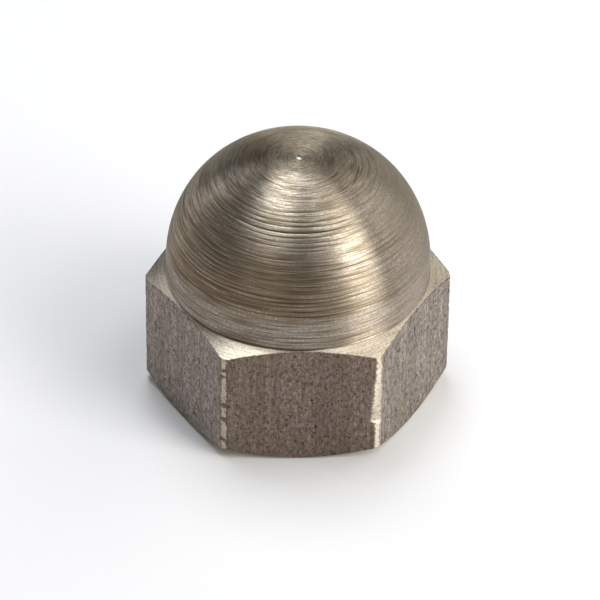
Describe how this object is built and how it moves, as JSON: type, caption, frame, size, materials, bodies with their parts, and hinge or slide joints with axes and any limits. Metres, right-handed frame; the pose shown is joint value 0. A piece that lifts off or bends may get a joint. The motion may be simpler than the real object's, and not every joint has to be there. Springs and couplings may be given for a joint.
{
  "type": "cap nut",
  "caption": "High domed cap nut: a hexagon with chamfered corners, a turned hemispherical dome and a blind threaded hole.",
  "frame": {"origin": "centre of the bearing face, where the thread axis meets it", "axes": "+Z along the thread axis from the bearing face to the dome, +X through a corner of the hexagon, +Y square to a pair of flats"},
  "size_m": [0.0148, 0.013, 0.0132],
  "materials": {
    "steel": "bare stainless steel, turned on the dome and chamfers, drawn on the flats"
  },
  "bodies": {
    "root": {"cap_nut": "steel"}
  },
  "joints": []
}
